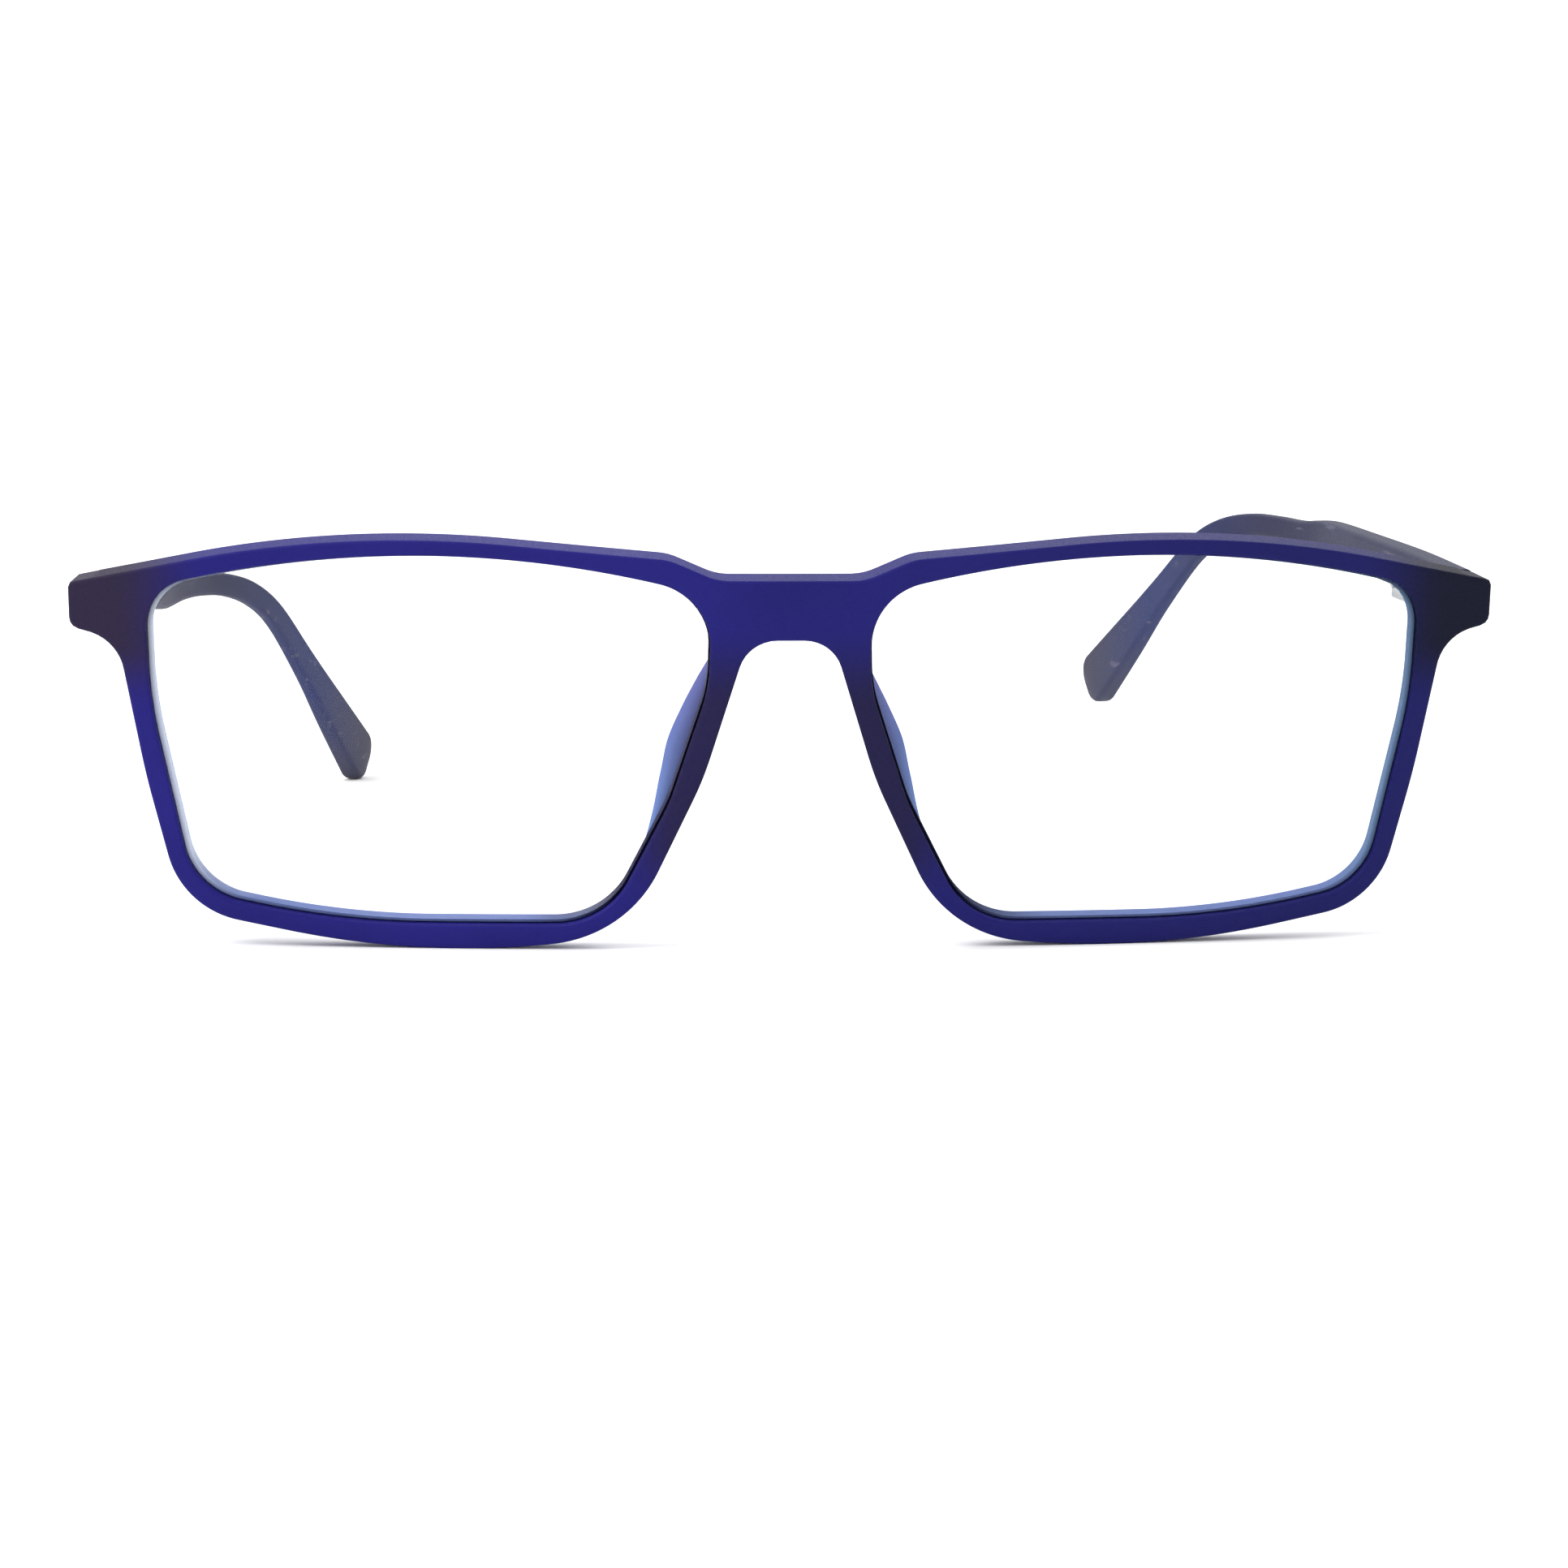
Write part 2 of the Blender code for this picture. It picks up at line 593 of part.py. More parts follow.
def leaf_screw(side, name, up):
    work = bmesh.new()
    centre = (LEAF_SCREW_X - PIVOT_X, 0.0, up)
    seat = LEAF_FRONT_Y + LEAF_THICK + 0.05 - PIVOT_Y
    rod(work, side, "y", centre, ((seat - LEAF_THICK - 2.2, SCREW_R), (seat, SCREW_R), (seat, 0.55),
                                  (seat + 0.2, 0.55), (seat + 0.35, 0.4)), 16)
    obj = new_object(f"leaf_screw_{name}_{side}", work, "steel")
    slot_across(obj, side, "y", centre, seat + 0.35, 0.55, f"leaf_slot_{name}_{side}")
    return obj


def pivot_screw(side):
    work = bmesh.new()
    seat = HINGE_HALF + 0.06
    rod(work, side, "z", (0.0, 0.0, 0.0),
        ((-HINGE_HALF - 0.1, PIN_R - 0.15), (-HINGE_HALF + 0.1, PIN_R), (seat, PIN_R), (seat, 0.95),
         (seat + 0.3, 0.95), (seat + 0.45, 0.75)))
    obj = new_object(f"pivot_screw_{side}", work, "steel", pivot(side))
    slot_across(obj, side, "z", (0.0, 0.0, 0.0), seat + 0.45, 0.95, f"pivot_slot_{side}")
    return obj


def spring_slider(side, parent):
    """Eye, flat stem and pull rod in one piece."""
    work = bmesh.new()
    rod(work, side, "z", (0.0, 0.0, 0.0), ((-EYE_HALF, KNUCKLE_R), (EYE_HALF, KNUCKLE_R)))
    obj = new_object(f"spring_slider_{side}", work, "steel", pivot(side), parent)
    stem = box(side, (-0.5, 0.9), (0.6, STEM_END), (-EYE_HALF + 0.001, EYE_HALF - 0.001))
    cut(obj, stem, f"stem_{side}", "UNION")
    pull = bmesh.new()
    rod(pull, side, "y", (ROD_OFF_X, 0.0, 0.0), ((STEM_END - 0.5, ROD_R), (ROD_END, ROD_R)), 12)
    cut(obj, pull, f"pull_rod_{side}", "UNION")
    cut_round(obj, side, "z", (0.0, 0.0, 0.0), ((-EYE_HALF - 1, PIN_HOLE_R), (EYE_HALF + 1, PIN_HOLE_R)),
              f"eye_hole_{side}")
    return obj


def spring_stop(side, parent):
    work = bmesh.new()
    rod(work, side, "y", (ROD_OFF_X, 0.0, 0.0), ((STOP[0], 0.78), (STOP[1], 0.78)), 16)
    obj = new_object(f"spring_stop_{side}", work, "steel", pivot(side), parent)
    cut_round(obj, side, "y", (ROD_OFF_X, 0.0, 0.0),
              ((STOP[0] - 1, ROD_R + 0.05), (STOP[1] + 1, ROD_R + 0.05)), f"stop_hole_{side}")
    return obj


def coil_spring(side, parent):
    """A round wire wound about the pull rod, between the housing's inner wall and the stop."""
    work = bmesh.new()
    start = SHOULDER[1] + SPRING_WIRE_R + 0.06
    end = STOP[0] - SPRING_WIRE_R - 0.06
    steps = SPRING_TURNS * 12
    rings = []
    for k in range(steps + 1):
        turn = math.tau * SPRING_TURNS * k / steps
        along = start + (end - start) * k / steps
        out = (math.cos(turn), math.sin(turn))
        ring = []
        for j in range(5):
            angle = math.tau * j / 5
            r = SPRING_COIL_R + SPRING_WIRE_R * math.cos(angle)
            back = along + SPRING_WIRE_R * math.sin(angle)
            ring.append(hinge_point(side, ROD_OFF_X + r * out[0], back, r * out[1]))
        rings.append(ring)
    loft(work, rings)
    return new_object(f"coil_spring_{side}", work, "steel", pivot(side), parent)


def spring_housing(side, parent):
    """Box on the temple's inner side, open towards the temple so that slider and spring drop in."""
    work = box(side, HOUSING_OFF_X, HOUSING_Y, (-HINGE_HALF, HINGE_HALF))
    obj = new_object(f"spring_housing_{side}", work, "steel", pivot(side), parent)
    bevel = obj.modifiers.new("edges", "BEVEL")
    bevel.width = 0.25 * MM
    bevel.segments = 2
    open_x = HOUSING_OFF_X[1] + 1.0
    cut(obj, box(side, (-0.6, open_x), (HOUSING_Y[0] - 1.0, SHOULDER[0]), (-EYE_HALF - 0.1, EYE_HALF + 0.1)),
        f"stem_way_{side}")
    cut(obj, box(side, (ROD_OFF_X - ROD_R - 0.07, open_x + 0.1), (SHOULDER[0] - 0.5, SHOULDER[1] + 0.5),
                 (-ROD_R - 0.07, ROD_R + 0.07)), f"rod_way_{side}")
    cut(obj, box(side, (-0.7, open_x), (SHOULDER[1], 11.0), (-0.9, 0.9)), f"spring_way_{side}")
    cut_round(obj, side, "x", (0.0, HOUSING_SCREW_Y, 0.0),
              ((HOUSING_OFF_X[0] - 1.0, SCREW_HOLE_R), (open_x, SCREW_HOLE_R)), f"housing_hole_{side}")
    return obj


def housing_screw(side, parent):
    work = bmesh.new()
    seat = HOUSING_OFF_X[0] - 0.05
    rod(work, side, "x", (0.0, HOUSING_SCREW_Y, 0.0), ((seat - 0.3, 0.45), (seat - 0.15, 0.65), (seat, 0.65),
                                                       (seat, SCREW_R), (seat + 4.2, SCREW_R)), 16)
    obj = new_object(f"housing_screw_{side}", work, "steel", pivot(side), parent)
    slot_across(obj, side, "x", (0.0, HOUSING_SCREW_Y, 0.0), seat - 0.3, 0.65, f"housing_slot_{side}")
    return obj


def main():
    clear_scene()
    front_frame()
    for side in SIDES:
        lens(side)
        hinge_leaf(side)
        leaf_screw(side, "upper", LEAF_SCREW_UP)
        leaf_screw(side, "lower", -LEAF_SCREW_UP)
        pivot_screw(side)
        slider_pivot = empty_at(f"slider_pivot_{side}", pivot(side))
        spring_slider(side, slider_pivot)
        spring_stop(side, slider_pivot)
        coil_spring(side, slider_pivot)
        temple_pivot = empty_at(f"temple_pivot_{side}", pivot(side))
        temple_pivot.parent = slider_pivot
        temple_pivot.location = (0.0, 0.0, 0.0)
        temple(side, temple_pivot)
        spring_housing(side, temple_pivot)
        housing_screw(side, temple_pivot)


main()
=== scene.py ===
"""Looks for the full-rim glasses around the CAD frame: fine front, clear lenses, temples and steel hinges."""

import math

import bmesh
import bpy
from mathutils import Matrix, Vector


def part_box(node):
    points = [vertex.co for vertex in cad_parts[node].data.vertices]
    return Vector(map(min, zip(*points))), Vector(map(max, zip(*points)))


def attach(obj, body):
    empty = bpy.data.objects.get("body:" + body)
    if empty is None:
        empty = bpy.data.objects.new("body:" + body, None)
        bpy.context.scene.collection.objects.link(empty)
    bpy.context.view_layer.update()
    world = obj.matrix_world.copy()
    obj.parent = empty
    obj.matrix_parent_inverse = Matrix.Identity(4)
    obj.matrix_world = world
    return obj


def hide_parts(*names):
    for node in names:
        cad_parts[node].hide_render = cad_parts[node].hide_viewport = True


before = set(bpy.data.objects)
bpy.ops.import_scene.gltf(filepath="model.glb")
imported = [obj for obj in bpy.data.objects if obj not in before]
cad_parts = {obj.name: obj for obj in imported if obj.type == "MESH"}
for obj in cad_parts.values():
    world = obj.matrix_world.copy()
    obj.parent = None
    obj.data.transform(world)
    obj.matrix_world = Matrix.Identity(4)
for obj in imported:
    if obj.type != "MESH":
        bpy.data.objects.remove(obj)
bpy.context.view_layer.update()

MM = 0.001
SIDES = {"left": 1, "right": -1}

# Front plane, in millimetres: x across from the middle, s up the plane, depth behind the front face.
FRONT_LEAN = math.radians(8.0)
FRONT_WRAP = 7.0
WRAP_AT = 68.0
FRONT_DEPTH = 3.9
EDGE_ROUND = 0.3
GROOVE_AT = 1.75
GROOVE_HALF = 0.75
GROOVE_DEPTH = 0.5
HALF_WIDTH = 70.0
SHIFT = Vector((0.0, -65.96, -0.28))

# Corners are (x, s, radius of the round).
OUTER_CORNERS = (
    (0.0, 37.37, 0.0), (7.1, 37.37, 5.8), (11.8, 39.4, 5.6), (42.8, 41.95, 103.0),
    (HALF_WIDTH, 35.75, 0.6), (HALF_WIDTH, 31.35, 1.1), (65.3, 30.25, 4.4), (62.9, 16.5, 80.0),
    (59.7, 3.15, 8.4), (36.2, -0.92, 90.0), (15.85, 1.5, 13.2), (8.4, 17.5, 35.0),
    (4.1, 31.45, 3.8), (0.0, 31.45, 0.0),
)
LENS_CORNERS = (
    (7.65, 35.85, 6.3), (35.8, 42.25, 97.0), (62.45, 35.45, 5.1), (62.3, 24.2, 42.0), (58.45, 4.9, 6.8),
    (44.0, 2.3, 90.0), (17.9, 2.7, 8.2), (11.65, 15.1, 20.0), (7.9, 26.6, 15.0),
)
# Where the outline faces the lens opening: (outer x, outer s, opening x, opening s).
FACING = (
    (0.0, 37.37, 8.4, 33.9), (13.0, 39.4, 13.6, 37.3), (36.0, 41.0, 36.0, 39.6), (58.0, 38.5, 57.0, 37.0),
    (67.2, 36.4, 60.0, 36.0), (67.7, 36.3, 60.3, 35.8), (69.8, 35.75, 61.3, 34.9), (70.0, 35.25, 61.6, 34.5),
    (70.0, 32.25, 62.3, 32.4), (69.7, 31.35, 62.35, 31.5), (67.9, 30.8, 62.4, 30.7), (67.2, 30.6, 62.4, 30.3),
    (64.7, 27.2, 62.3, 26.8), (59.0, 4.4, 57.6, 5.6), (33.0, 0.0, 33.0, 2.3), (18.0, 2.2, 18.8, 4.2),
    (7.5, 20.0, 10.1, 20.0), (4.7, 29.4, 7.9, 29.0), (3.2, 31.05, 7.8, 31.2), (0.0, 31.45, 7.85, 32.8),
)
SPOKE_STEP = 0.6
ARC_STEPS = 4                      # pieces of each small round
FACE_STEPS = 5                     # pieces across the front face, and across the back
WALL_POINTS = 6                    # points down the outer wall
WALL_PLAIN = 1.2                   # the wall starts to turn into the nose pad this far before the back
PAD_FOOT = 1.0                     # where the pad's inner slope meets the back, from the edge

# (height of the place up the outline, reach behind the rim, lean away from the nose, thickness)
PAD_PROFILE = (
    (3.5, 0.0, 0.0, 0.9), (5.9, 0.7, 0.25, 1.0), (9.0, 1.6, 0.4, 1.2), (12.3, 2.5, 0.95, 1.3),
    (15.5, 3.35, 1.75, 1.35), (18.9, 4.0, 2.3, 1.35), (22.4, 4.5, 1.95, 1.35), (25.9, 4.2, 1.35, 1.35),
    (28.5, 2.6, 0.9, 1.2), (30.6, 0.0, 0.0, 0.8),
)
PAD_INSIDE = 17.5
PAD_FULL_REACH = 1.5

LENS_THICK = 1.9
LENS_CLEAR = 0.24
PANE_CLEAR = 0.06                  # the lens sits this close to the rim's wall
# Ground chamfer round the lens: its least width, and what the temple side and the bottom add.
CHAMFER_WIDE = 0.06
CHAMFER_TEMPORAL = 0.42
CHAMFER_BOTTOM = 0.3
CHAMFER_DEEP = 0.3
LENS_RINGS = 12
COATED_INDEX = 1.15                # a low index stands for the coating, which mirrors little
# Painted light: the ground edge is painted pale on the right lens, at -x, towards the key lamp, and blue on
# the left lens.
EDGE_PAINTED_LIGHT_COLOURS = {"left": (0.15, 0.24, 0.40), "right": (0.66, 0.72, 0.88)}
# Painted light: the edge is painted bluer low down, lit by the rim under it.
EDGE_LOW_PAINTED_LIGHT = (0.17, 0.23, 0.48)
# Painted shade: the edge is painted near black by the nose.
EDGE_NASAL_PAINTED_SHADE = (0.012, 0.013, 0.055)
LENS_TINTS = {"left": (0.955, 0.98, 0.97), "right": (0.985, 0.965, 0.965)}

BUTT_Y = 10.0
BLOCK_INNER_X = 67.3
BLOCK_TOP_FALL = 0.3
POCKET_CLEAR = 0.1
SCREW_HOLE_R = 0.4

TEMPLE_FRONT_Y = 10.3
# (y, x of the middle, z of the middle, height, thickness)
TEMPLE_STATIONS = (
    (TEMPLE_FRONT_Y, 68.55, 34.8, 4.3, 2.9), (30.0, 68.55, 35.35, 4.3, 2.9), (55.0, 68.6, 35.6, 4.3, 2.8),
    (72.0, 68.7, 35.55, 4.6, 2.6), (79.0, 68.5, 35.6, 4.2, 2.4), (86.0, 67.4, 35.75, 3.0, 2.0),
    (92.0, 65.7, 36.05, 2.7, 1.8), (98.0, 63.2, 36.0, 2.8, 1.7), (104.0, 60.6, 34.85, 3.0, 1.6),
    (110.0, 58.2, 32.1, 3.3, 1.6), (118.0, 55.3, 26.1, 4.0, 1.8), (126.0, 52.5, 19.8, 5.4, 2.3),
    (134.0, 49.6, 13.5, 6.8, 2.6),
)
TEMPLE_STEP = 0.8
TIP_ROUND = 3.0
TIP_STEPS = 10
DROP_AT_HINGE = {"left": 0.0, "right": 0.5}
DROP_SLOPE = {"left": 0.0, "right": 0.0764}

# Colours of the mouldings. Pairs run from one side, height or cloud of the moulding to the other.
INDIGO = ((0.0075, 0.0055, 0.120), (0.010, 0.008, 0.150))
# Painted shade: the indigo is painted darker towards +x, the left side, away from the key lamp.
INDIGO_LEFT_PAINTED_SHADE = (0.0050, 0.0052, 0.082)
# The end pieces' colours; the +x end is painted darker than the -x end, painted shade away from the key lamp.
END_COLOURS_AND_PAINTED_SHADE = ((0.016, 0.010, 0.028), (0.001, 0.002, 0.010))
# Painted light: the nose pads, moulded of the same indigo, are painted a lighter blue, lighter towards the
# bottom.
PAD_PAINTED_LIGHT = ((0.11, 0.13, 0.38), (0.14, 0.26, 0.58))
NAVY = ((0.016, 0.018, 0.050), (0.024, 0.025, 0.058))
NAVY_BEHIND_BEND = (0.016, 0.024, 0.095)
NAVY_TIP = (0.034, 0.034, 0.062)
NAVY_STREAK = (0.07, 0.07, 0.12)

# Viewpoint, nearly square on to the front.
CAMERA_PLACE = (-0.0217, -0.436, 0.0649)
CAMERA_YAW = math.radians(-3.295)
CAMERA_PITCH = math.radians(-7.45)
CAMERA_ROLL = math.radians(0.16)
CAMERA_LENS = 87.44

WORLD_STRENGTH = 1.07
FLOOR_HALF = 30.0
LAMP_AIM = (0.0, 0.0, 0.02)
# (name, place, size, watts, colour)
LAMPS = (
    ("key", (-0.7, -0.25, 0.9), 0.7, 9.0, (1.0, 0.99, 0.97)),
    ("fill", (0.9, -0.4, 0.7), 0.8, 0.5, (0.95, 0.97, 1.0)),
    ("back", (0.1, 0.9, 0.9), 0.9, 5.0, (1.0, 1.0, 1.0)),
)


# ---- outlines ----

def rounded(corners, closed, step=0.08):
    """A dense polyline through the corners, each cut by an arc of its radius."""
    points = []
    count = len(corners)
    for i, (x, s, radius) in enumerate(corners):
        here = Vector((x, s))
        if radius == 0.0:
            points.append(here)
            continue
        before = (Vector(corners[i - 1][:2]) - here).normalized()
        after = (Vector(corners[(i + 1) % count][:2]) - here).normalized()
        half = before.angle(after) / 2
        reach = radius / math.tan(half)
        middle = here + (before + after).normalized() * radius / math.sin(half)
        start = here + before * reach - middle
        turn = math.pi - 2 * half
        if start.x * after.y - start.y * after.x < 0:
            turn = -turn
        pieces = max(4, round(abs(turn) * radius / step))
        for k in range(pieces + 1):
            angle = turn * k / pieces
            c, n = math.cos(angle), math.sin(angle)
            points.append(middle + Vector((start.x * c - start.y * n, start.x * n + start.y * c)))
    if closed:
        points.append(points[0])
    return points


def lengths(points):
    run = [0.0]
    for a, b in zip(points, points[1:]):
        run.append(run[-1] + (b - a).length)
    return run


def place_of(points, run, target):
    """Distance along the polyline of its nearest place to target."""
    best = (math.inf, 0.0)
    for i, (a, b) in enumerate(zip(points, points[1:])):
        along = b - a
        share = 0.0
        if along.length_squared > 0:
            share = min(1.0, max(0.0, (target - a).dot(along) / along.length_squared))
        best = min(best, ((a + along * share - target).length, run[i] + along.length * share))
    return best[1]


def point_at(points, run, distance):
    """Point and outward normal of a clockwise polyline at a distance along it."""
    low, high = 0, len(run) - 2
    while low < high:
        i = (low + high + 1) // 2
        if run[i] <= distance:
            low = i
        else:
            high = i - 1
    along = points[low + 1] - points[low]
    share = (distance - run[low]) / along.length if along.length else 0.0
    direction = along.normalized()
    return points[low] + along * share, Vector((-direction.y, direction.x))


def spoke_at(outer, outer_run, outer_distance, lens, lens_run, lens_distance):
    p, m = point_at(lens, lens_run, lens_distance % lens_run[-1])
    q, n = point_at(outer, outer_run, outer_distance)
    if q.x < 1e-6:
        n = Vector((0.0, math.copysign(1.0, n.y)))
    return p, m, q, n


def front_spokes(step):
    """Spokes from the lens opening to the outline: opening point, its normal, outline point, its normal."""
    outer = rounded(OUTER_CORNERS, closed=False)
    lens = rounded(LENS_CORNERS, closed=True)
    outer_run, lens_run = lengths(outer), lengths(lens)
    outer_at = [place_of(outer, outer_run, Vector(f[:2])) for f in FACING]
    lens_at = [place_of(lens, lens_run, Vector(f[2:])) for f in FACING]
    for k in range(1, len(lens_at)):
        if lens_at[k] < lens_at[k - 1]:
            lens_at[k] += lens_run[-1]
    spokes = []
    for k in range(len(FACING) - 1):
        span = max(outer_at[k + 1] - outer_at[k], lens_at[k + 1] - lens_at[k])
        pieces = max(1, round(span / step))
        for j in range(pieces):
            share = j / pieces
            outer_distance = outer_at[k] + (outer_at[k + 1] - outer_at[k]) * share
            lens_distance = lens_at[k] + (lens_at[k + 1] - lens_at[k]) * share
            spokes.append(spoke_at(outer, outer_run, outer_distance, lens, lens_run, lens_distance))
    spokes.append(spoke_at(outer, outer_run, outer_run[-1], lens, lens_run, lens_at[-1]))
    foot, top = spokes[-1][2], spokes[0][2]
    gap = lens_at[0] + lens_run[-1] - lens_at[-1]
    pieces = max(2, round((top - foot).length / step))
    for j in range(1, pieces):
        share = j / pieces
        p, m = point_at(lens, lens_run, (lens_at[-1] + gap * share) % lens_run[-1])
        spokes.append((p, m, foot.lerp(top, share), None))
    return spokes


def on_front(x, s, depth, back=0.0):
    """Millimetres in the outlines' own frame: depth is behind the front face, back is straight back."""
    wrap = FRONT_WRAP * (x / WRAP_AT) ** 2 + depth
    y = -s * math.sin(FRONT_LEAN) + wrap * math.cos(FRONT_LEAN) + back
    z = s * math.cos(FRONT_LEAN) + wrap * math.sin(FRONT_LEAN)
    return Vector((x, y, z))


def to_world(point, side):
    moved = point + SHIFT
    return Vector((moved.x * SIDES[side], moved.y, moved.z)) * MM


def smooth_step(low, high, value):
    t = min(1.0, max(0.0, (value - low) / (high - low)))
    return t * t * (3 - 2 * t)


# ---- mesh helpers ----

def finish_mesh(name, work, materials):
    """An object at the origin from a bmesh in metres."""
    bmesh.ops.remove_doubles(work, verts=work.verts, dist=1e-7)
    bmesh.ops.recalc_face_normals(work, faces=work.faces)
    mesh = bpy.data.meshes.new(name)
    work.to_mesh(mesh)
    work.free()
    for made in materials:
        mesh.materials.append(made)
    obj = bpy.data.objects.new(name, mesh)
    bpy.context.scene.collection.objects.link(obj)
    return obj


def smooth_faces(obj, angle):
    obj.data.shade_smooth()
    obj.data.set_sharp_from_angle(angle=math.radians(angle))
    weighted = obj.modifiers.new("even_normals", "WEIGHTED_NORMAL")
    weighted.keep_sharp = True


def cut_all(obj, cutters):
    """Cuts closed shapes from obj and leaves only the result."""
    for cutter in cutters:
        made = obj.modifiers.new(cutter.name, "BOOLEAN")
        made.operation = "DIFFERENCE"
        made.solver = "EXACT"
        made.object = cutter
    bpy.context.view_layer.update()
    evaluated = obj.evaluated_get(bpy.context.evaluated_depsgraph_get())
    mesh = bpy.data.meshes.new_from_object(evaluated)
    obj.modifiers.clear()
    old = obj.data
    obj.data = mesh
    bpy.data.meshes.remove(old)
    for cutter in cutters:
        bpy.data.objects.remove(cutter)


def skin(work, rings):
    """Skins rings of vertices one to the next."""
    faces = []
    for a, b in zip(rings, rings[1:]):
        for i in range(len(a)):
            j = (i + 1) % len(a)
            faces.append(work.faces.new((a[i], a[j], b[j], b[i])))
    return faces


def box_cutter(name, low, high):
    work = bmesh.new()
    rings = []
    for z in (low.z, high.z):
        corners = ((low.x, low.y), (high.x, low.y), (high.x, high.y), (low.x, high.y))
        rings.append([work.verts.new((x, y, z)) for x, y in corners])
    skin(work, rings)
    work.faces.new(rings[0])
    work.faces.new(rings[1])
    return finish_mesh(name, work, [])


def round_cutter(name, axis, centre, radius, low, high):
    work = bmesh.new()
    rings = []
    for along in (low, high):
        ring = []
        for k in range(24):
            angle = math.tau * k / 24
            a, b = radius * math.cos(angle), radius * math.sin(angle)
            place = {"x": (along, centre.y + a, centre.z + b), "y": (centre.x + a, along, centre.z + b)}[axis]
            ring.append(work.verts.new(place))
        rings.append(ring)
    skin(work, rings)
    work.faces.new(rings[0])
    work.faces.new(rings[1])
    return finish_mesh(name, work, [])


# ---- front ----

def pad_at(x, s):
    """Reach, lean and thickness of the nose pad at this place of the outline."""
    if x > PAD_INSIDE or s <= PAD_PROFILE[0][0] or s >= PAD_PROFILE[-1][0]:
        return 0.0, 0.0, 0.0
    i = max(k for k, row in enumerate(PAD_PROFILE) if row[0] <= s)
    span = PAD_PROFILE[i + 1][0] - PAD_PROFILE[i][0]
    _, reach, lean, thick = through(PAD_PROFILE, i + (s - PAD_PROFILE[i][0]) / span)
    return max(0.0, reach), max(0.0, lean), thick


def arc(corner, start, end):
    """Points of a round that starts at start, turns at corner and stops at end."""
    made = []
    for k in range(ARC_STEPS + 1):
        angle = math.pi / 2 * k / ARC_STEPS
        a, b = math.sin(angle), 1 - math.cos(angle)
        made.append(start + (corner - start) * a + (end - corner) * b)
    return made


